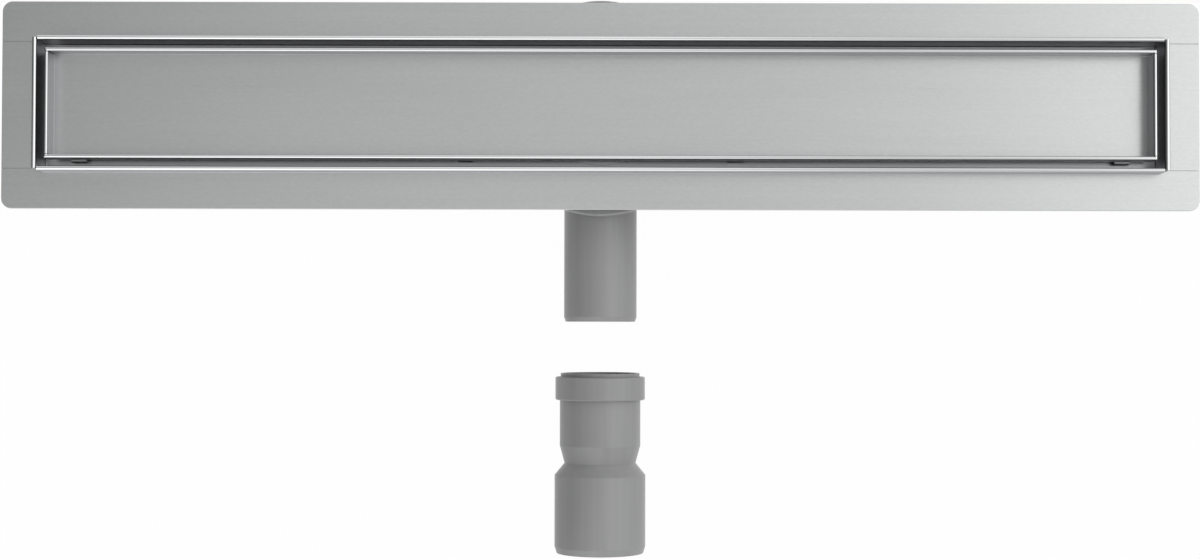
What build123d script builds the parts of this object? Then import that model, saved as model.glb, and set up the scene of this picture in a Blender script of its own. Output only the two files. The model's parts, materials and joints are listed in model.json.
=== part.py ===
from build123d import *

import os

# Linear shower drain: a hemmed stainless channel with a tile tray, a round trap under it and a pipe adapter.
# Millimetres. The origin is the middle of the trap's base, +Z is up, +X runs along the channel and the
# outlet points to -Y. The adapter lies on the floor in line with the outlet, as taken off it.

# Channel
SHEET = 1.1
SIDE_HEM_GAP = 0.2
END_HEM_GAP = 0.6
HEM_CORNER_GAP = 0.3
RIM_LENGTH = 600.0
RIM_WIDTH = 71.4
UPSTAND = 12.0
TROUGH_BEND = 0.4
FLANGE_BEND = 0.15
FLANGE_END_REACH = 18.85
FLANGE_SIDE_REACH = 19.6
FLANGE_CORNER = 5.5
FLANGE_EDGE_ROUND = 0.3
SEAM_WIDTH = 0.4
SEAM_DEPTH = 0.6
FLOOR_HOLE_CLEARANCE = 0.5

# Tile tray
TRAY_SHEET = 2.0
TRAY_BEND = 0.1
TILE_DEPTH = 12.0
SIDE_SLOT = 4.1
END_SLOT = 4.1
TRAY_CORNER_GAP = 0.3
TRAY_EDGE_ROUND = 0.9
WATER_SPACE = 5.4

# Bridges that carry the tray
SUPPORT_SHEET = 0.9
SUPPORT_BEND = 0.1
SUPPORT_WIDTH = 8.0
INNER_SUPPORT_OVERHANG = 0.4
END_SUPPORT_OVERHANG = 1.4
SUPPORT_INNER_X = 72.0
SUPPORT_END_INSET = 15.0

# Clamp between the trough floor and the trap
CLAMP_SIDE_CLEARANCE = 1.95
CLAMP_RING_WIDTH = 8.25
CLAMP_RING_THICKNESS = 2.0
GASKET_THICKNESS = 1.5
GASKET_BORE_CLEARANCE = 0.4
SCREW_COUNT = 6
SCREW_RADIUS = 1.5
SCREW_HEAD_RADIUS = 3.0
SCREW_SOCKET_RADIUS = 1.2
SCREW_SOCKET_DEPTH = 1.0
SCREW_BITE = 8.0
SCREW_HOLE_CLEARANCE = 0.2
SCREW_THREAD_FIT = 0.05
BOSS_WALL = 2.2
BOSS_END = 1.5

# Trap bowl, its lid and the outlet spigot
PIPE_RADIUS = 20.0
PIPE_WALL = 1.8
PIPE_CHAMFER_LENGTH = 2.6
PIPE_CHAMFER_DEPTH = 0.9
SPIGOT_LENGTH = 56.8
OUTLET_STEP = 4.3
OUTLET_HEADROOM = 4.0
TRAP_RADIUS = 58.0
BOWL_WALL = 2.5
BOWL_RIM_WIDTH = 4.0
BOWL_RIM_THICKNESS = 3.0
BOWL_DRAFT = 4.0
BOWL_BASE_FILLET = 6.0
LID_THICKNESS = 3.0
LID_EDGE_FILLET = 1.0
LID_SKIRT_DEPTH = 4.0
LID_SKIRT_WALL = 2.0
LID_SKIRT_CLEARANCE = 0.3
SLEEVE_WALL = 2.0
LEDGE_DROP = 7.0
LEDGE_WIDTH = 2.0
LEDGE_THICKNESS = 2.5

# Removable water seal: ring seal, dip tube, cup and strainer
INSERT_CLEARANCE = 0.3
INSERT_SEAL_THICKNESS = 1.5
INSERT_FLANGE_THICKNESS = 2.0
CUP_CLEARANCE = 0.5
CUP_WALL = 1.4
CUP_RING_HEIGHT = 5.0
CUP_WINDOW_HEIGHT = 8.0
CUP_ARM_COUNT = 3
CUP_ARM_WIDTH = 6.0
CUP_FLOOR_GAP = 3.5
CUP_BASE_FILLET = 4.0
SNAP_CLEARANCE = 0.1
TUBE_WALL = 1.4
TUBE_FOOT_GAP = 5.0
WATER_WAY = 6.1
FUNNEL_DROP = 6.0
STRAINER_SHEET = 0.8
STRAINER_DEPTH = 6.0
STRAINER_CLEARANCE = 0.5
STRAINER_HOLE_RADIUS = 1.5
STRAINER_HOLE_PITCH = 4.4

# Adapter from the outlet spigot to the next pipe size, mouth first
ADAPTER_GAP = 28.3
ADAPTER_WALL = 1.9
SOCKET_CLEARANCE = 0.3
LIP_WALL = 1.45
LIP_LENGTH = 2.0
LIP_FILLET = 0.3
BEAD_RADIUS = 24.65
BEAD_LENGTH = 12.7
BEAD_FILLET = 0.8
NECK_LENGTH = 25.0
TAPER_LENGTH = 9.7
WAIST_RADIUS = 19.6
FLARE_LENGTH = 6.6
ADAPTER_SPIGOT_RADIUS = 25.0
ADAPTER_SPIGOT_LENGTH = 39.0
ADAPTER_CHAMFER_LENGTH = 3.6
ADAPTER_CHAMFER_DEPTH = 1.1
SEAL_CLEARANCE = 0.1
SEAL_BACK = 1.6
SEAL_SQUEEZE = 0.6
SEAL_LIP_WALL = 1.0

# Widths of the folded channel and tray
side_wall = 2 * SHEET + SIDE_HEM_GAP
end_wall = 2 * SHEET + END_HEM_GAP
trough_length = RIM_LENGTH - 2 * end_wall
trough_width = RIM_WIDTH - 2 * side_wall
flange_length = RIM_LENGTH + 2 * FLANGE_END_REACH
flange_width = RIM_WIDTH + 2 * FLANGE_SIDE_REACH
end_rim_lap = SHEET + SIDE_HEM_GAP
tray_length = trough_length - 2 * END_SLOT
tray_width = trough_width - 2 * SIDE_SLOT

# Radii round the trap's axis, from the trough floor inwards
clamp_outer = trough_width / 2 - TROUGH_BEND - CLAMP_SIDE_CLEARANCE
neck_radius = clamp_outer - CLAMP_RING_WIDTH
screw_circle = (clamp_outer + neck_radius) / 2
ledge_radius = neck_radius - LEDGE_WIDTH
cup_outer = ledge_radius - CUP_CLEARANCE
cup_inner = cup_outer - CUP_WALL
collar_outer = cup_inner - SNAP_CLEARANCE
collar_inner = collar_outer - TUBE_WALL
tube_outer = cup_inner - WATER_WAY
tube_inner = tube_outer - TUBE_WALL
bowl_top_radius = TRAP_RADIUS - BOWL_RIM_WIDTH
bowl_base_radius = bowl_top_radius - BOWL_DRAFT
pipe_bore = PIPE_RADIUS - PIPE_WALL

# Heights, from the base of the trap upwards
outlet_height = BOWL_WALL + OUTLET_STEP + pipe_bore
bowl_height = outlet_height + PIPE_RADIUS + OUTLET_HEADROOM + BOWL_RIM_THICKNESS
lid_top = bowl_height + LID_THICKNESS
floor_under = lid_top + GASKET_THICKNESS
floor_top = floor_under + SHEET
tray_under = floor_top + WATER_SPACE
rim_top = tray_under + TRAY_SHEET + TILE_DEPTH
flange_top = rim_top - UPSTAND
trough_top = rim_top - end_wall
ledge_top = lid_top - LEDGE_DROP
insert_under = ledge_top + INSERT_SEAL_THICKNESS
insert_top = insert_under + INSERT_FLANGE_THICKNESS
cup_base = BOWL_WALL + CUP_FLOOR_GAP
weir = insert_under - CUP_RING_HEIGHT - CUP_WINDOW_HEIGHT
tube_foot = cup_base + CUP_WALL + TUBE_FOOT_GAP

# Stations along the adapter, from its mouth
socket_radius = PIPE_RADIUS + SOCKET_CLEARANCE
neck_outer = socket_radius + ADAPTER_WALL
groove_radius = BEAD_RADIUS - ADAPTER_WALL
bead_end = LIP_LENGTH + BEAD_LENGTH
groove_start = LIP_LENGTH + ADAPTER_WALL
groove_end = bead_end - ADAPTER_WALL
neck_end = bead_end + NECK_LENGTH
waist = neck_end + TAPER_LENGTH
flare_end = waist + FLARE_LENGTH
chamfer_start = flare_end + ADAPTER_SPIGOT_LENGTH
adapter_end = chamfer_start + ADAPTER_CHAMFER_LENGTH
adapter_mouth = TRAP_RADIUS + SPIGOT_LENGTH + ADAPTER_GAP


def block(low, high):
    """Box between two opposite corners."""
    size = [b - a for a, b in zip(low, high)]
    middle = [(a + b) / 2 for a, b in zip(low, high)]
    return Pos(*middle) * Box(*size)


def turned(points, radii=None):
    """Solid turned about Z from an outline of (radius, height) points, with a fillet radius for each."""
    outline = FilletPolyline(*points, radius=radii, close=True) if radii else Polyline(*points, close=True)
    return revolve(Plane.XZ * make_face(outline), Axis.Z)


def tube(outer, inner, low, high):
    """Round ring between two heights."""
    return turned([(inner, low), (outer, low), (outer, high), (inner, high)])


def at_screws(height):
    """Places of the clamp screws on their circle at a height."""
    return [Pos(0, 0, height) * place for place in PolarLocations(screw_circle, SCREW_COUNT)]


def drilled(part, radius, low, high):
    """Part with a hole at each clamp screw between two heights."""
    drill = Cylinder(radius, high - low, align=(Align.CENTER, Align.CENTER, Align.MIN))
    return part - [place * drill for place in at_screws(low)]


def open_box(length, width, low, high, sheet, bend):
    """Folded box with no lid: inside length and width, sheet thickness and inside bend at the floor."""
    outside = block(
        (-length / 2 - sheet, -width / 2 - sheet, low), (length / 2 + sheet, width / 2 + sheet, high)
    )
    inside = block((-length / 2, -width / 2, low + sheet), (length / 2, width / 2, high))
    outside = fillet(outside.edges().group_by(Axis.Z)[0], bend + sheet)
    inside = fillet(inside.edges().group_by(Axis.Z)[0], bend)
    return outside - inside


def hem_section(wall):
    """Section of a hem of a given thickness, measured outwards from the trough's inner face and upwards.

    The sheet leaves the top of the trough wall, folds over, comes down outside and turns out as the flange.
    """
    fold = (wall / 2, rim_top - wall / 2)
    bend = (wall + FLANGE_BEND, flange_top + FLANGE_BEND)
    outer_leg = wall - SHEET
    return make_face(
        [
            CenterArc(fold, wall / 2, 180, -180),
            Line((wall, fold[1]), (wall, bend[1])),
            CenterArc(bend, FLANGE_BEND, 180, 90),
            Line((bend[0], flange_top), (bend[0], flange_top - SHEET)),
            CenterArc(bend, FLANGE_BEND + SHEET, 270, -90),
            Line((outer_leg, bend[1]), (outer_leg, fold[1])),
            CenterArc(fold, wall / 2 - SHEET, 0, 180),
            Line((SHEET, fold[1]), (SHEET, trough_top)),
            Line((SHEET, trough_top), (0, trough_top)),
            Line((0, trough_top), (0, fold[1])),
        ]
    )


def hem(outward, distance, half_length, wall):
    """Hem along one side of the trough, given its outward direction and its distance from the middle."""
    outward = Vector(*outward)
    side = Plane(origin=outward * distance, x_dir=outward, z_dir=outward.cross(Vector(0, 0, 1)))
    return extrude(side * hem_section(wall), half_length, both=True)


def flange_plate():
    """Flat flange round the rim, open where the trough and its hems pass."""
    sheet = RectangleRounded(flange_length, flange_width, FLANGE_CORNER)
    plate = extrude(Pos(0, 0, flange_top - SHEET) * sheet, SHEET)
    plate = fillet(plate.edges().group_by(Axis.Z)[-1], FLANGE_EDGE_ROUND)
    plate -= Pos(0, 0, flange_top) * Box(trough_length, RIM_WIDTH + 2 * FLANGE_BEND, 4 * SHEET)
    end_hem_width = trough_width + 2 * end_rim_lap
    return plate - Pos(0, 0, flange_top) * Box(RIM_LENGTH + 2 * FLANGE_BEND, end_hem_width, 4 * SHEET)


def seam_grooves():
    """Shallow lines where the end tabs of the flange meet its long sides."""
    groove = Box(FLANGE_END_REACH, SEAM_WIDTH, 2 * SEAM_DEPTH)
    x = (RIM_LENGTH + FLANGE_END_REACH) / 2
    y = (trough_width + SHEET) / 2
    return [Pos(sx * x, sy * y, flange_top) * groove for sx in (-1, 1) for sy in (-1, 1)]


def channel_body():
    """Folded channel: trough, hemmed rim, flange, outlet hole and clamp screw holes."""
    channel = open_box(trough_length, trough_width, floor_under, trough_top, SHEET, TROUGH_BEND)
    channel += flange_plate()
    for sign in (-1, 1):
        channel += hem((0, sign, 0), trough_width / 2, trough_length / 2 - HEM_CORNER_GAP, side_wall)
        channel += hem((sign, 0, 0), trough_length / 2, trough_width / 2 + end_rim_lap, end_wall)
    channel -= seam_grooves()
    channel -= Pos(0, 0, floor_under) * Cylinder(neck_radius + FLOOR_HOLE_CLEARANCE, 4 * SHEET)
    return drilled(channel, SCREW_RADIUS + SCREW_HOLE_CLEARANCE, floor_under - SHEET, floor_top + SHEET)


def tile_tray():
    """Folded tray with rounded lips; its end walls stand between the side walls with a gap at each corner."""
    inner_length = tray_length - 2 * TRAY_SHEET
    inner_width = tray_width - 2 * TRAY_SHEET
    tray = open_box(inner_length, inner_width, tray_under, rim_top, TRAY_SHEET, TRAY_BEND)
    tray = fillet(tray.edges().group_by(Axis.Z)[-1], TRAY_EDGE_ROUND)
    gap = Box(2 * TRAY_SHEET, TRAY_CORNER_GAP, 2 * TILE_DEPTH)
    gap_y = (inner_width - TRAY_CORNER_GAP) / 2
    return tray - [
        Pos(sx * tray_length / 2, sy * gap_y, rim_top) * gap for sx in (-1, 1) for sy in (-1, 1)
    ]


def tray_support(x, overhang):
    """Folded bridge across the trough: two legs on its floor and a flat top under the tray."""
    half = tray_width / 2 + overhang
    inner = half - SUPPORT_SHEET
    under = tray_under - SUPPORT_SHEET
    corners = [
        (half, floor_top),
        (half, tray_under),
        (-half, tray_under),
        (-half, floor_top),
        (-inner, floor_top),
        (-inner, under),
        (inner, under),
        (inner, floor_top),
    ]
    outer_bend = SUPPORT_BEND + SUPPORT_SHEET
    bends = [0, outer_bend, outer_bend, 0, 0, SUPPORT_BEND, SUPPORT_BEND, 0]
    strip = make_face(FilletPolyline(*corners, radius=bends, close=True))
    return Pos(x, 0, 0) * extrude(Plane.YZ * strip, SUPPORT_WIDTH / 2, both=True)


def clamp_ring():
    """Flat ring on the trough floor with countersunk holes."""
    top = floor_top + CLAMP_RING_THICKNESS
    ring = tube(clamp_outer, neck_radius, floor_top, top)
    ring = drilled(ring, SCREW_RADIUS + SCREW_HOLE_CLEARANCE, floor_top, top)
    head_height = SCREW_HEAD_RADIUS - SCREW_RADIUS
    sink_height = head_height + SCREW_HOLE_CLEARANCE
    sink = Pos(0, 0, -sink_height / 2) * Cone(SCREW_RADIUS, SCREW_RADIUS + sink_height, sink_height)
    return ring - [place * sink for place in at_screws(top)]


def clamp_screws():
    """Countersunk screws through the ring, the trough floor and the gasket into the lid's bosses."""
    head_height = SCREW_HEAD_RADIUS - SCREW_RADIUS
    length = CLAMP_RING_THICKNESS + floor_top - lid_top + SCREW_BITE
    outline = [
        (0, -length),
        (SCREW_RADIUS, -length),
        (SCREW_RADIUS, -head_height),
        (SCREW_HEAD_RADIUS, 0),
        (0, 0),
    ]
    socket = extrude(RegularPolygon(SCREW_SOCKET_RADIUS, 6), -SCREW_SOCKET_DEPTH)
    screw = turned(outline) - socket
    return Compound(children=[place * screw for place in at_screws(floor_top + CLAMP_RING_THICKNESS)])


def floor_gasket():
    """Flat rubber ring between the trough floor and the lid."""
    gasket = tube(clamp_outer, neck_radius + GASKET_BORE_CLEARANCE, lid_top, floor_under)
    return drilled(gasket, SCREW_RADIUS + SCREW_HOLE_CLEARANCE, lid_top, floor_under)


def trap_lid():
    """Lid of the trap: disc, skirt inside the bowl, neck sleeve with a ledge, and screw bosses."""
    lid = turned(
        [(0, bowl_height), (TRAP_RADIUS, bowl_height), (TRAP_RADIUS, lid_top), (0, lid_top)],
        [0, 0, LID_EDGE_FILLET, 0],
    )
    skirt_outer = bowl_inner_radius(bowl_height - LID_SKIRT_DEPTH) - LID_SKIRT_CLEARANCE
    lid += tube(skirt_outer, skirt_outer - LID_SKIRT_WALL, bowl_height - LID_SKIRT_DEPTH, bowl_height)
    sleeve_end = ledge_top - LEDGE_THICKNESS
    lid += tube(neck_radius + SLEEVE_WALL, ledge_radius, sleeve_end, bowl_height)
    boss_end = lid_top - SCREW_BITE - BOSS_END
    boss = Cylinder(
        SCREW_RADIUS + BOSS_WALL, bowl_height - boss_end, align=(Align.CENTER, Align.CENTER, Align.MIN)
    )
    lid += [place * boss for place in at_screws(boss_end)]
    lid -= tube(neck_radius, 0, ledge_top, lid_top)
    lid -= tube(ledge_radius, 0, boss_end - LID_THICKNESS, ledge_top)
    return drilled(lid, SCREW_RADIUS + SCREW_THREAD_FIT, lid_top - SCREW_BITE, lid_top)


def bowl_inner_radius(height):
    """Inside radius of the drafted bowl at a height."""
    share = height / (bowl_height - BOWL_RIM_THICKNESS)
    return bowl_base_radius + BOWL_DRAFT * share - BOWL_WALL


def outlet_spigot():
    """Outside of the outlet spigot, from the trap's axis to its chamfered end."""
    end = TRAP_RADIUS + SPIGOT_LENGTH
    outline = [
        (0, 0),
        (PIPE_RADIUS, 0),
        (PIPE_RADIUS, end - PIPE_CHAMFER_LENGTH),
        (PIPE_RADIUS - PIPE_CHAMFER_DEPTH, end),
        (0, end),
    ]
    return lying(turned(outline), 0, outlet_height)


def lying(part, distance, height):
    """Part turned about Z, laid along -Y with its start at a distance from the trap's axis."""
    return Pos(0, -distance, height) * Rot(90, 0, 0) * part


def trap_bowl():
    """Drafted round bowl with a rim for the lid and the outlet spigot moulded on."""
    rim_under = bowl_height - BOWL_RIM_THICKNESS
    bowl = turned(
        [
            (0, 0),
            (bowl_base_radius, 0),
            (bowl_top_radius, rim_under),
            (TRAP_RADIUS, rim_under),
            (TRAP_RADIUS, bowl_height),
            (0, bowl_height),
        ],
        [0, BOWL_BASE_FILLET, 0, 0, 0, 0],
    )
    bowl += outlet_spigot()
    bowl -= turned(
        [
            (0, BOWL_WALL),
            (bowl_inner_radius(BOWL_WALL), BOWL_WALL),
            (bowl_inner_radius(bowl_height), bowl_height),
            (0, bowl_height),
        ],
        [0, BOWL_BASE_FILLET - BOWL_WALL, 0, 0],
    )
    return bowl - lying(tube(pipe_bore, 0, 0, TRAP_RADIUS + SPIGOT_LENGTH), 0, outlet_height)


def insert_seal():
    """Flat rubber ring on the ledge of the neck."""
    return tube(neck_radius - INSERT_CLEARANCE, ledge_radius, ledge_top, insert_under)


def dip_tube():
    """Flanged funnel that narrows to the tube standing in the cup's water."""
    collar_end = insert_under - CUP_RING_HEIGHT
    funnel_end = collar_end - FUNNEL_DROP
    return turned(
        [
            (collar_inner, insert_top),
            (collar_inner, collar_end),
            (tube_inner, funnel_end),
            (tube_inner, tube_foot),
            (tube_outer, tube_foot),
            (tube_outer, funnel_end),
            (collar_outer, collar_end),
            (collar_outer, insert_under),
            (neck_radius - INSERT_CLEARANCE, insert_under),
            (neck_radius - INSERT_CLEARANCE, insert_top),
        ]
    )


def trap_cup():
    """Cup hung by arms from a ring that snaps round the dip tube's collar."""
    cup = turned(
        [
            (0, cup_base),
            (cup_outer, cup_base),
            (cup_outer, insert_under),
            (cup_inner, insert_under),
            (cup_inner, cup_base + CUP_WALL),
            (0, cup_base + CUP_WALL),
        ],
        [0, CUP_BASE_FILLET, 0, 0, CUP_BASE_FILLET - CUP_WALL, 0],
    )
    windows = tube(cup_outer + CUP_WALL, 0, weir, weir + CUP_WINDOW_HEIGHT)
    arm = block((0, -CUP_ARM_WIDTH / 2, weir), (2 * cup_outer, CUP_ARM_WIDTH / 2, weir + CUP_WINDOW_HEIGHT))
    windows -= PolarLocations(0, CUP_ARM_COUNT) * arm
    return cup - windows


def hair_strainer():
    """Pressed dish with a flat rim and rings of holes in its floor."""
    dish_outer = collar_inner - STRAINER_CLEARANCE
    dish_inner = dish_outer - STRAINER_SHEET
    rim = neck_radius - INSERT_CLEARANCE
    rim_upper = insert_top + STRAINER_SHEET
    floor_lower = rim_upper - STRAINER_DEPTH - STRAINER_SHEET
    floor_upper = floor_lower + STRAINER_SHEET
    dish = turned(
        [
            (0, floor_lower),
            (dish_outer, floor_lower),
            (dish_outer, insert_top),
            (rim, insert_top),
            (rim, rim_upper),
            (dish_inner, rim_upper),
            (dish_inner, floor_upper),
            (0, floor_upper),
        ]
    )
    hole = Pos(0, 0, floor_lower) * Cylinder(STRAINER_HOLE_RADIUS, 4 * STRAINER_SHEET)
    rings = int((dish_inner - STRAINER_HOLE_RADIUS) / STRAINER_HOLE_PITCH)
    holes = [hole]
    for ring in range(1, rings + 1):
        holes += PolarLocations(ring * STRAINER_HOLE_PITCH, 6 * ring) * hole
    return dish - holes


def outlet_adapter():
    """Adapter: lip, bead round the seal groove, neck, taper to a waist, flare, and spigot with a chamfer."""
    wall_bore = ADAPTER_SPIGOT_RADIUS - ADAPTER_WALL
    lip_radius = socket_radius + LIP_WALL
    waist_bore = WAIST_RADIUS - ADAPTER_WALL
    outside = [
        (lip_radius, 0, LIP_FILLET),
        (lip_radius, LIP_LENGTH, 0),
        (BEAD_RADIUS, LIP_LENGTH, BEAD_FILLET),
        (BEAD_RADIUS, bead_end, BEAD_FILLET),
        (neck_outer, bead_end, 0),
        (neck_outer, neck_end, 0),
        (WAIST_RADIUS, waist, 0),
        (ADAPTER_SPIGOT_RADIUS, flare_end, 0),
        (ADAPTER_SPIGOT_RADIUS, chamfer_start, 0),
        (ADAPTER_SPIGOT_RADIUS - ADAPTER_CHAMFER_DEPTH, adapter_end, 0),
    ]
    inside = [
        (wall_bore, adapter_end, 0),
        (wall_bore, flare_end, 0),
        (waist_bore, waist, 0),
        (socket_radius, neck_end, 0),
        (socket_radius, groove_end, 0),
        (groove_radius, groove_end, 0),
        (groove_radius, groove_start, 0),
        (socket_radius, groove_start, 0),
        (socket_radius, 0, 0),
    ]
    outline = outside + inside
    adapter = turned([(r, s) for r, s, _ in outline], [f for _, _, f in outline])
    return lying(adapter, adapter_mouth, ADAPTER_SPIGOT_RADIUS)


def adapter_lip_seal():
    """Rubber ring in the bead groove with a lip that leans inwards and down the socket."""
    start = groove_start + SEAL_CLEARANCE
    end = groove_end - SEAL_CLEARANCE
    outer = groove_radius - SEAL_CLEARANCE
    back = outer - SEAL_BACK
    tip = PIPE_RADIUS - SEAL_SQUEEZE
    seal = turned(
        [
            (outer, start),
            (outer, end),
            (back, end),
            (back, start + 2 * SEAL_LIP_WALL),
            (tip + SEAL_LIP_WALL / 2, end),
            (tip, end - SEAL_LIP_WALL),
            (back, start),
        ]
    )
    return lying(seal, adapter_mouth, ADAPTER_SPIGOT_RADIUS)


support_end_x = tray_length / 2 - SUPPORT_END_INSET
supports = [
    (-support_end_x, END_SUPPORT_OVERHANG),
    (-SUPPORT_INNER_X, INNER_SUPPORT_OVERHANG),
    (SUPPORT_INNER_X, INNER_SUPPORT_OVERHANG),
    (support_end_x, END_SUPPORT_OVERHANG),
]

nodes = {
    "channel_body": channel_body(),
    "tile_tray": tile_tray(),
    "clamp_ring": clamp_ring(),
    "clamp_screws": clamp_screws(),
    "floor_gasket": floor_gasket(),
    "trap_lid": trap_lid(),
    "trap_bowl": trap_bowl(),
    "insert_seal": insert_seal(),
    "dip_tube": dip_tube(),
    "trap_cup": trap_cup(),
    "hair_strainer": hair_strainer(),
    "outlet_adapter": outlet_adapter(),
    "adapter_lip_seal": adapter_lip_seal(),
}
for number, (x, overhang) in enumerate(supports, start=1):
    nodes[f"tray_support_{number}"] = tray_support(x, overhang)

os.makedirs("parts", exist_ok=True)
for name, part in nodes.items():
    export_step(part, f"parts/{name}.step")
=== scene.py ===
# %% [markdown]
# # A linear shower drain, dressed for a product picture
#
# The drain is a folded stainless channel with a tile tray lying in it, a round plastic trap
# under it and a pipe adapter that lies in front of the outlet. The solids come from the CAD
# model, in metres, with +X along the channel, the outlet towards -Y and +Z up. This lesson
# gives them a camera, light and finishes.
#
# Everything shares the solids' own frame, so nothing has to be moved to fit.

# %% Load the solids
import json

import bpy
import numpy as np
from mathutils import Matrix, Vector


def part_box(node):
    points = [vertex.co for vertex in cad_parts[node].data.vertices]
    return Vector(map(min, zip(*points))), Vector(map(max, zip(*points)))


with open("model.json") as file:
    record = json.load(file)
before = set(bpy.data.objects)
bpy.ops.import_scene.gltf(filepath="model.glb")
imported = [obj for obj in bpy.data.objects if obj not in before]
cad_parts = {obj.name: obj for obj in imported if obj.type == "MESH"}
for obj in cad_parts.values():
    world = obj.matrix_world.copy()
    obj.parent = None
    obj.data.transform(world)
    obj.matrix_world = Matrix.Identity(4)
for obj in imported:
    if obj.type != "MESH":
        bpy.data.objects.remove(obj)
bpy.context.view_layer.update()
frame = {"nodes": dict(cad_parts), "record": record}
nodes = frame["nodes"]
scene = bpy.context.scene
scene.view_settings.view_transform = "Standard"


print("solids:", ", ".join(sorted(nodes)))

# %% [markdown]
# ## The camera
#
# The picture is taken from a little over a metre above the floor, almost straight down, with
# the drain filling the width of the frame. A camera that is not turned at all already looks
# down in Blender, with +Y at the top of the picture, so only three small angles are needed:
# a lean towards the back, a pan and a roll of an eighth of a degree.
#
# The focal length in pixels and the angles were found by matching the edges of the rim, the
# flange, the tray and the pipes. Blender wants millimetres on a sensor instead of pixels, so
# the focal length is scaled by the sensor's width over the picture's width.

# %% Place the camera
PICTURE_WIDTH = 1200
FOCAL_PIXELS = 1900.0
SENSOR_WIDTH = 36.0
NEAREST_SEEN = 0.01
CAMERA_PLACE = Vector((-0.00157, -0.11468, 1.07444))
LEAN, PAN, ROLL = np.radians((1.2664, -0.0744, 0.1227))

eye = bpy.data.cameras.new("picture_camera")
eye.sensor_fit = "HORIZONTAL"
eye.sensor_width = SENSOR_WIDTH
eye.lens = FOCAL_PIXELS * SENSOR_WIDTH / PICTURE_WIDTH
eye.clip_start = NEAREST_SEEN
camera = bpy.data.objects.new("picture_camera", eye)
scene.collection.objects.link(camera)
camera.matrix_world = (
    Matrix.Translation(CAMERA_PLACE)
    @ Matrix.Rotation(LEAN, 4, "X")
    @ Matrix.Rotation(PAN, 4, "Y")
    @ Matrix.Rotation(ROLL, 4, "Z")
)
scene.camera = camera
print("camera:", tuple(round(v, 4) for v in CAMERA_PLACE), "lens", round(eye.lens, 2), "mm")

# %% [markdown]
# ## Shader sums written as Python
#
# Node trees are easier to read as formulas. `Wire` holds one output socket of a tree, and the
# usual operators on it add Math nodes: `1 - mask * 0.2` becomes two nodes. The smooth step is a
# Map Range node, and it draws every soft border in this lesson.

# %% Wires
class Wire:
    """One output socket; arithmetic on it adds Math nodes to its tree."""

    def __init__(self, shading, socket):
        self.shading = shading
        self.socket = socket

    def math(self, operation, *terms):
        """Math node on the terms, in their order."""
        sockets = dict(enumerate(terms))
        return self.shading.node("ShaderNodeMath", {"operation": operation}, sockets)["Value"]

    def __add__(self, other):
        return self.math("ADD", self, other)

    def __sub__(self, other):
        return self.math("SUBTRACT", self, other)

    def __rsub__(self, other):
        return self.math("SUBTRACT", other, self)

    def __mul__(self, other):
        return self.math("MULTIPLY", self, other)

    def __neg__(self):
        return self.math("MULTIPLY", self, -1.0)

    def __abs__(self):
        return self.math("ABSOLUTE", self)

    __radd__ = __add__
    __rmul__ = __mul__

    def high(self, other):
        """The larger of the two."""
        return self.math("MAXIMUM", self, other)

    def low(self, other):
        """The smaller of the two."""
        return self.math("MINIMUM", self, other)

    def step(self, start, end):
        """Smooth step from 0 at start to 1 at end."""
        smooth = {"interpolation_type": "SMOOTHSTEP"}
        places = {"Value": self, "From Min": start, "From Max": end}
        return self.shading.node("ShaderNodeMapRange", smooth, places)["Result"]


print("a wire knows:", ", ".join(name for name in vars(Wire) if name != "__module__"))

# %% [markdown]
# Any other kind of node comes from `Shading.node`, which takes the node's type, its settings and
# the values or wires for its sockets. A ramp's stops are given as pairs of a place and a grey
# level, so they count as one of the settings. Colours are mixed with a Mix node, because a Math
# node would turn them grey. That node has sockets for numbers and vectors under the same names,
# so its colour sockets are picked by their number.

# %% Trees
class Shading:
    """A node tree with one call for any node."""

    MIX_FIRST, MIX_SECOND, MIX_RESULT = 6, 7, 2

    def __init__(self, tree):
        self.tree = tree
        tree.nodes.clear()

    def node(self, kind, settings=None, inputs=None):
        """Adds a node, sets its settings, then its sockets; gives its outputs as wires by name."""
        made = self.tree.nodes.new(kind)
        for name, value in (settings or {}).items():
            if name == "stops":
                stops = made.color_ramp.elements
                while len(stops) < len(value):
                    stops.new(1.0)
                for stop, (place, level) in zip(stops, value):
                    stop.position = place
                    stop.color = (level, level, level, 1.0)
            else:
                setattr(made, name, value)
        for key, value in (inputs or {}).items():
            if isinstance(value, Wire):
                self.tree.links.new(value.socket, made.inputs[key])
            else:
                made.inputs[key].default_value = value
        return {out.name: Wire(self, out) for out in made.outputs if out.enabled}

    def between(self, share, first, second):
        """Mix of two colours by a share."""
        ends = [end if isinstance(end, Wire) else (*end, 1.0) for end in (first, second)]
        inputs = {"Factor": share, self.MIX_FIRST: ends[0], self.MIX_SECOND: ends[1]}
        self.node("ShaderNodeMix", {"data_type": "RGBA"}, inputs)
        return Wire(self, self.tree.nodes[-1].outputs[self.MIX_RESULT])


print("a tree offers:", ", ".join(name for name in vars(Shading) if name.islower() and name[0] != "_"))

# %% [markdown]
# The world has one tree, and each finish has one of its own, in a new material. Finishes ask for
# the same few things over and over, so these get short forms. Noise takes its scale as a triple in
# bumps per metre, and a small number along one axis draws the noise out into streaks along it. It
# is laid out in Object coordinates, so it stays on the solid from whatever side that is seen.

# %% Finishes
RELIEF_DEPTH = 0.0001


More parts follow.
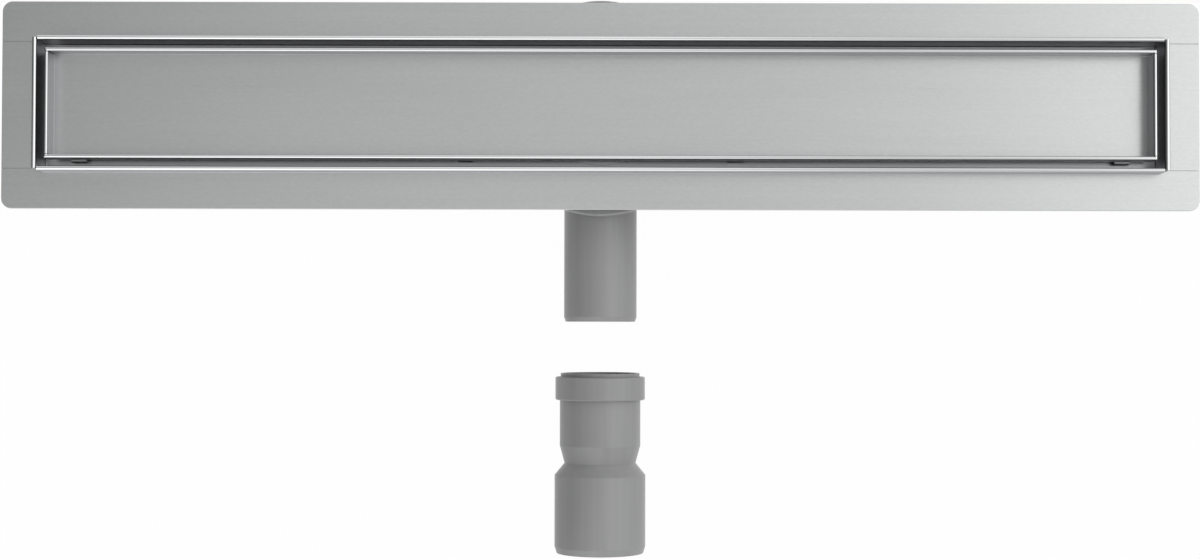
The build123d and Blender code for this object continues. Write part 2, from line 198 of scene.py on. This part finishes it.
class Finish(Shading):
    """A new material and its tree, with short forms for what every finish needs."""

    def __init__(self, name):
        self.material = bpy.data.materials.new(name)
        self.material.use_nodes = True
        super().__init__(self.material.node_tree)

    def place(self):
        """Object coordinates, which on these pieces are metres in the drain's own frame."""
        return self.node("ShaderNodeTexCoord")["Object"]

    def noise(self, scale, detail=2.0):
        """Noise between 0 and 1 with its own number of bumps per metre along each axis."""
        spread = self.node("ShaderNodeMapping", inputs={"Vector": self.place(), "Scale": scale})
        inputs = {"Vector": spread["Vector"], "Scale": 1.0, "Detail": detail}
        return self.node("ShaderNodeTexNoise", inputs=inputs)["Fac"]

    def bump(self, height, strength):
        """Normal of the surface, tipped by a relief of a tenth of a millimetre."""
        inputs = {"Height": height, "Strength": strength, "Distance": RELIEF_DEPTH}
        return self.node("ShaderNodeBump", inputs=inputs)["Normal"]

    def output(self, surface):
        """Sends a surface to the material's output and gives the finished material."""
        self.node("ShaderNodeOutputMaterial", inputs={"Surface": surface})
        return self.material

    def skin(self, sockets):
        """Finished material with one Principled surface, given its sockets."""
        return self.output(self.node("ShaderNodeBsdfPrincipled", inputs=sockets)["BSDF"])


print("a finish adds:", ", ".join(name for name in vars(Finish) if name[0] != "_"))

# %% [markdown]
# ## The floor
#
# The drain lies on a plain sheet that is wide enough to fill every view of it. Blender's own plane would
# do, but a sheet is also the simplest surface that a formula can give: a grid of two parameters, both
# along straight lines.

# %% Make the floor
FLOOR_REACH = 30.0
FLOOR_LINES = 5


def mesh_from_grid(name, points):
    """Mesh whose quads join neighbours in a grid of points (rows, columns, 3)."""
    rows, columns = points.shape[:2]
    index = np.arange(rows * columns).reshape(rows, columns)
    corners = [index[:-1, :-1], index[1:, :-1], index[1:, 1:], index[:-1, 1:]]
    quads = np.stack(corners, axis=-1).reshape(-1, 4)
    mesh = bpy.data.meshes.new(name)
    mesh.from_pydata(points.reshape(-1, 3).tolist(), [], quads.tolist())
    mesh.update()
    return mesh


line = np.linspace(-FLOOR_REACH, FLOOR_REACH, FLOOR_LINES)
across, along = np.meshgrid(line, line, indexing="ij")
floor_mesh = mesh_from_grid("floor", np.stack([across, along, 0 * across], axis=-1))
floor = bpy.data.objects.new("floor", floor_mesh)
scene.collection.objects.link(floor)
print("floor:", len(floor_mesh.polygons), "quads,", 2 * FLOOR_REACH, "m wide")

# %% [markdown]
# The drain is pictured on plain white with next to no shadow. A white floor would have to be
# lit very brightly to come out white, and that light would wash out the steel. So the floor is
# a pale matt sheet for the light that falls on it, but to the camera, and in reflections, most
# of it is a plain white that needs no light. The small matt share that is left keeps the
# drain's shadow.

# %% Paint the floor
FLOOR_GREY = (0.5, 0.5, 0.5, 1.0)
PLAIN_WHITE = (1.0, 1.0, 1.0, 1.0)
FLOOR_WHITE_SHARE = 0.98

paint = Finish("white_floor")
ray = paint.node("ShaderNodeLightPath")
seen = ray["Is Camera Ray"].high(ray["Is Glossy Ray"]).high(ray["Is Transmission Ray"])
matt = paint.node("ShaderNodeBsdfDiffuse", inputs={"Color": FLOOR_GREY})["BSDF"]
white = paint.node("ShaderNodeEmission", inputs={"Color": PLAIN_WHITE, "Strength": 1.0})["Emission"]
mixed = paint.node("ShaderNodeMixShader", inputs={0: seen * FLOOR_WHITE_SHARE, 1: matt, 2: white})
floor_mesh.materials.append(paint.output(mixed["Shader"]))
print("floor's paint:", paint.material.name, "with", FLOOR_WHITE_SHARE, "of plain white where it is seen")

# %% [markdown]
# ## The light
#
# Brushed steel shows what is above it, blurred. Seen from straight above, each flat of the drain
# reflects a patch of the ceiling a little to its own side, so the even run from mid grey at the
# left end to nearly white at the right end is a picture of the room: a dim wall on the left and
# a large soft box on the upper right. The rounded rims look further round, to the front and the
# back, where two more soft boxes stand.
#
# Lamps would give hard-edged reflections, so the room is written as one smooth world: three
# strips that run from left to right, one overhead, one in front and one behind. Each is a list of
# pairs: the X of a direction and the level of light that comes from there. A ramp is meant for
# colours from 0 to 1, so the levels are divided by the brightest and multiplied again after it.

# %% Levels from left to right
BRIGHTEST = 3.0
OVERHEAD = [
    (-1.0, 0.06), (-0.7, 0.32), (-0.45, 0.32), (-0.3, 0.7), (-0.2, 0.955), (-0.13, 0.995),
    (0.1, 0.985), (0.15, 1.0), (0.2, 1.15), (0.25, 1.45), (0.3, 2.2), (0.4, 2.55),
    (0.55, 2.0), (0.7, 2.4), (0.87, 2.1), (1.0, 1.2),
]
IN_FRONT = [
    (-1.0, 1.5), (-0.6, 2.6), (-0.15, 2.3), (0.0, 2.0), (0.15, 1.1),
    (0.3, 0.8), (0.5, 1.15), (0.7, 1.25), (1.0, 0.6),
]
BEHIND = [
    (-1.0, 0.4), (-0.6, 0.6), (-0.3, 1.2), (-0.15, 1.25), (0.0, 1.75),
    (0.15, 1.2), (0.32, 1.2), (0.45, 2.8), (0.75, 3.0), (1.0, 1.4),
]

world = bpy.data.worlds.new("studio")
world.use_nodes = True
scene.world = world
room = Shading(world.node_tree)
toward = room.node("ShaderNodeTexCoord")["Generated"]
parts = room.node("ShaderNodeSeparateXYZ", inputs={"Vector": toward})
x, y, z = parts["X"], parts["Y"], parts["Z"]


def strip(levels):
    """Level along X by straight lines between pairs of a place and a level."""
    stops = [((1 + place) / 2, level / BRIGHTEST) for place, level in levels]
    ramp = room.node("ShaderNodeValToRGB", {"stops": stops}, {"Fac": x * 0.5 + 0.5})
    return ramp["Color"] * BRIGHTEST


print("level straight up:", round(np.interp(0.0, *zip(*OVERHEAD)), 2))

# %% [markdown]
# The Y of a direction tells which strip it belongs to, with a soft border between them. Three
# touches are then added to the plain strips. The one overhead rises towards the front, and the
# more so the further left it is, while at the front of its right half it dips. The soft boxes at
# the front left and at the back right stand low, so their strips are dimmer higher up. And the
# light from low down is a little bluer than the light from overhead.

# %% Put the strips together
FRONT_BORDER, BACK_BORDER = (0.1, 0.6), (0.2, 0.7)
BOX_SIDE, BOX_TOP, BOX_DIMMING = (0.3, 0.5), (0.2, 0.5), 0.35
RISE_LEVEL, RISE_MIDDLE = 1.02, 0.06
RISE_ANYWHERE, RISE_LEFT = 0.15, 7.0
DIP_RIGHT, DIP_REACH = 3.0, 0.3
RISE_LEAST, RISE_MOST = 0.4, 1.5
LOW_TINT, HIGH_TINT, TINT_BORDER = (0.985, 0.99, 1.0), (0.985, 1.011, 0.98), (0.6, 0.95)


def low_box(side):
    """Share of a strip's level that is left above the soft box that stands on that side."""
    return 1 - side.step(*BOX_SIDE) * z.step(*BOX_TOP) * BOX_DIMMING


front = (-y).step(*FRONT_BORDER)
back = y.step(*BACK_BORDER)
slope = (-x).high(0.0) * RISE_LEFT + RISE_ANYWHERE
dip = y.low(0.0) * x.high(0.0).low(DIP_REACH) * DIP_RIGHT
rise = (RISE_LEVEL - (y - RISE_MIDDLE) * slope + dip).high(RISE_LEAST).low(RISE_MOST)
sides = strip(IN_FRONT) * front * low_box(-x) + strip(BEHIND) * back * low_box(x)
level = strip(OVERHEAD) * rise * (1 - front) * (1 - back) + sides
tint = room.between(z.step(*TINT_BORDER), LOW_TINT, HIGH_TINT)
glow = room.node("ShaderNodeBackground", inputs={"Color": tint, "Strength": level})
room.node("ShaderNodeOutputWorld", inputs={"Surface": glow["Background"]})
print("world:", len(world.node_tree.nodes), "nodes")

# %% [markdown]
# ## Brushed stainless sheet
#
# The sheet is ground along its length, which leaves fine scratches that all run along X. Each is
# far narrower than a pixel here, so together they act as a soft blur and a faint streakiness. An
# image of scratches would show its repeats on a piece as long as this. Noise that is drawn out
# along X has none: the finest tips the surface a little through a bump, while long streaks, the
# belt's uneven pressure and short brush marks shade the steel and its roughness by a few percent.
#
# The small steel pieces have one finish all over. The ring is painted in the same dark bluish painted
# shade as the trough's floor round it, which stands for the shade in the slot. The bridges under the tray
# are duller and lighter, and the strainer and the screws are lighter again.

# %% Sheet steel
SCRATCHES = (30.0, 5000.0, 5000.0)
STREAKS = (10.0, 1100.0, 1100.0)
BELT_PRESSURE = (9.0, 60.0, 60.0)
BRUSH_MARKS = (420.0, 950.0, 950.0)
SCRATCH_STRENGTH = 0.2
DULL_SHADES = [(0.57, 0.57, 0.58), (0.63, 0.63, 0.64)]
# The next pair is painted shade: a dark bluish grey for the walls inside the rim, the trough's floor and
# the ring, standing for the shade in the slots.
INSIDE_PAINTED_SHADES = [(0.306, 0.3035, 0.318), (0.323, 0.3205, 0.336)]
BRIDGE_SHADES = [(0.43, 0.43, 0.436), (0.48, 0.48, 0.486)]
GROUND_ROUGHNESS, DULL_ROUGHNESS = 0.29, 0.5


def belt_marks(finish, roughness):
    """Share of the lighter shade, and the roughness, both uneven where the belt went along X."""
    streak = finish.noise(STREAKS, detail=3.0)
    belt = finish.noise(BELT_PRESSURE)
    brush = finish.noise(BRUSH_MARKS)
    grain = (streak * 0.25 + belt * 0.2 + brush * 0.55).step(0.3, 0.7)
    return grain, (streak - 0.5) * 0.05 + (belt - 0.5) * 0.04 + roughness


def sheet(name, shades, roughness):
    """Stainless sheet that is ground the same all over."""
    finish = Finish(name)
    grain, rough = belt_marks(finish, roughness)
    return finish.skin({
        "Base Color": finish.between(grain, *shades),
        "Metallic": 1.0,
        "Roughness": rough,
        "Normal": finish.bump(finish.noise(SCRATCHES), SCRATCH_STRENGTH),
    })


sheet_steel = sheet("sheet_steel", DULL_SHADES, DULL_ROUGHNESS)
# The ring takes the dark painted shade of the trough's floor, which stands for the shade in the slot.
ring_steel = sheet("ring_steel", INSIDE_PAINTED_SHADES, GROUND_ROUGHNESS)
bridge_steel = sheet("bridge_steel", BRIDGE_SHADES, DULL_ROUGHNESS)
print("sheets:", sheet_steel.name, ring_steel.name, bridge_steel.name)

# %% [markdown]
# ## The channel and the tray
#
# On these two the belt reaches only the flats: the flange and the tray's floor, which lie at the same
# height. The folds at the top of the rim and of the tray stick out and are buffed, so they are smoother
# and mirror the soft boxes as bright lines, and they are also given a lighter colour, a painted
# highlight. The walls between keep the skin of the mill, and their colour is painted shade: inside the
# rim a dark bluish grey without scratches, which stands for the shade in the slots, and outside a lighter
# bluish grey that is a little rougher.
#
# Three materials on picked faces would do this too, with hard borders. One material that reads
# the height and the distance from the middle line gives soft ones, and needs no picking.

# %% Folded steel
RIM_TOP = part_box("channel_body")[1][2]
RIM_HEIGHT, RIM_WIDTH, RIM_THICKNESS = 0.012, 0.0714, 0.0024
FLAT = RIM_TOP - RIM_HEIGHT
RIM_MIDDLE = (RIM_WIDTH - RIM_THICKNESS) / 2
RIM_BORDER = 0.0003
WALL_BORDER = (0.0002, 0.0006)
RIM_BUFFED_HIGHLIGHT_DEPTH, TRAY_BUFFED_HIGHLIGHT_DEPTH, BUFFED_HIGHLIGHT_BORDER = 0.0006, 0.0005, 0.0004
GROUND_SHADES = [(0.4005, 0.4, 0.4075), (0.4315, 0.431, 0.439)]
# Next: a lighter colour for the buffed tops, a painted highlight besides their smoother finish.
BUFFED_PAINTED_HIGHLIGHT = (0.515, 0.515, 0.522)
# Next: painted shade for the outer walls, a bluish grey lighter than the painted shade inside the rim.
OUTSIDE_PAINTED_SHADE = (0.44, 0.436, 0.454)
BUFFED_ROUGHNESS, OUTSIDE_ROUGHER = 0.13, 0.15


def folded_sheet(name, depth):
    """Sheet ground on its flats, buffed with a painted highlight down to a depth under the rim's top,
    with painted shade on the walls between.
    """
    finish = Finish(name)
    grain, rough = belt_marks(finish, GROUND_ROUGHNESS)
    place = finish.node("ShaderNodeSeparateXYZ", inputs={"Vector": finish.place()})
    # On the buffed tops the colour is a painted highlight; the lower roughness there is the real buffing.
    buffed = place["Z"].step(RIM_TOP - depth, RIM_TOP - depth + BUFFED_HIGHLIGHT_BORDER)
    # Off the flats the colour is painted shade: dark inside the rim, lighter outside.
    wall = abs(place["Z"] - FLAT).step(*WALL_BORDER)
    inside = abs(place["Y"]).step(RIM_MIDDLE + RIM_BORDER, RIM_MIDDLE - RIM_BORDER)
    painted_wall_shade = finish.between(inside, OUTSIDE_PAINTED_SHADE, finish.between(grain, *INSIDE_PAINTED_SHADES))
    unbuffed = finish.between(wall, finish.between(grain, *GROUND_SHADES), painted_wall_shade)
    rough = rough + wall * (1 - inside) * OUTSIDE_ROUGHER
    relief = finish.noise(SCRATCHES) * (1 - buffed) * (1 - wall * inside)
    return finish.skin({
        "Base Color": finish.between(buffed, unbuffed, BUFFED_PAINTED_HIGHLIGHT),
        "Metallic": 1.0,
        "Roughness": rough * (1 - buffed) + buffed * BUFFED_ROUGHNESS,
        "Normal": finish.bump(relief, SCRATCH_STRENGTH),
    })


channel_steel = folded_sheet("channel_steel", RIM_BUFFED_HIGHLIGHT_DEPTH)
tray_steel = folded_sheet("tray_steel", TRAY_BUFFED_HIGHLIGHT_DEPTH)
print("ground at", round(FLAT, 4), "m, buffed from", round(RIM_TOP - RIM_BUFFED_HIGHLIGHT_DEPTH, 4), "m on the rim")

# %% [markdown]
# ## Moulded plastic
#
# The trap and the adapter are moulded in grey polypropylene. The mould leaves a very fine
# pebbled skin, the melt flows along the pipe and leaves faint streaks in that direction, and the
# pigment is not perfectly even. All three are weak, but without them the plastic looks like
# paint. The pebbles also break up the gloss, so the specular level is set below that of a smooth
# plastic. The white insert is the same plastic with another pigment.

# %% Plastic finish
PEBBLES = (1600.0, 1600.0, 1600.0)
MELT_FLOW = (420.0, 9.0, 420.0)
PIGMENT_CLOUDS = (28.0, 28.0, 28.0)
PIGMENT_SPREAD = (0.95, 1.05)
PEBBLE_STRENGTH, PEBBLED_SPECULAR = 0.12, 0.36
GREY, GREY_ROUGHNESS = (0.198, 0.197, 0.1975), 0.34
WHITE, WHITE_ROUGHNESS = (0.62, 0.63, 0.62), 0.4


def moulded_plastic(name, shade, roughness):
    """Satin plastic: pebbled skin, streaks along Y where the melt flowed, uneven pigment."""
    finish = Finish(name)
    pebble = finish.noise(PEBBLES, detail=3.0)
    flow = finish.noise(MELT_FLOW, detail=3.0)
    pigment = finish.noise(PIGMENT_CLOUDS, detail=4.0)
    shades = [tuple(level * share for level in shade) for share in PIGMENT_SPREAD]
    return finish.skin({
        "Base Color": finish.between((flow * 0.5 + pigment * 0.5).step(0.3, 0.7), *shades),
        "Roughness": (pebble - 0.5) * 0.12 + (pigment - 0.5) * 0.1 + roughness,
        "Specular IOR Level": PEBBLED_SPECULAR,
        "Normal": finish.bump(pebble + flow * 0.5, PEBBLE_STRENGTH),
    })


grey_plastic = moulded_plastic("grey_plastic", GREY, GREY_ROUGHNESS)
insert_plastic = moulded_plastic("insert_plastic", WHITE, WHITE_ROUGHNESS)
print("plastics:", grey_plastic.name, insert_plastic.name)

# %% [markdown]
# ## Rubber
#
# The gasket and the two seals are black rubber: matt, faintly dusty and a little uneven, so the
# roughness and the tone both follow a fine cloudy noise. A plain black would look like a hole.

# %% Rubber finish
BLOOM_CLOUDS = (180.0, 180.0, 180.0)
RUBBER_GRAIN = (2500.0, 2500.0, 2500.0)
RUBBER_STRENGTH, RUBBER_ROUGHNESS = 0.15, 0.68
BARE_RUBBER, DUSTY_RUBBER = (0.02, 0.02, 0.021), (0.05, 0.05, 0.05)


def soft_rubber(name):
    """Matt black rubber with a cloudy bloom."""
    finish = Finish(name)
    bloom = finish.noise(BLOOM_CLOUDS, detail=5.0)
    return finish.skin({
        "Base Color": finish.between(bloom.step(0.3, 0.8), BARE_RUBBER, DUSTY_RUBBER),
        "Roughness": (bloom - 0.5) * 0.2 + RUBBER_ROUGHNESS,
        "Normal": finish.bump(finish.noise(RUBBER_GRAIN), RUBBER_STRENGTH),
    })


black_rubber = soft_rubber("black_rubber")
print("rubber:", black_rubber.name)

# %% [markdown]
# ## Dress the solids
#
# The record of the model says which finish slot each solid takes. The channel and the tray get their own
# steels, because their buffed edges and painted highlights start at different heights, and so do the
# ring, which carries the trough's dark painted shade, and the bridges, which show in the slots. A solid's
# mesh is left as it is: only its list of materials is filled.

# %% Put the finishes on
by_slot = {
    "brushed_steel": sheet_steel,
    "screw_steel": sheet_steel,
    "grey_plastic": grey_plastic,
    "insert_plastic": insert_plastic,
    "black_rubber": black_rubber,
}
by_node = {"channel_body": channel_steel, "tile_tray": tray_steel, "clamp_ring": ring_steel}
by_node.update({name: bridge_steel for name in nodes if name.startswith("tray_support")})

for part in frame["record"]["subparts"]:
    solid = nodes[part["node"]].data
    solid.materials.clear()
    solid.materials.append(by_node.get(part["node"], by_slot[part["material_slot"]]))

# %% [markdown]
# The dressed drain has to fill the same box as the solids did.
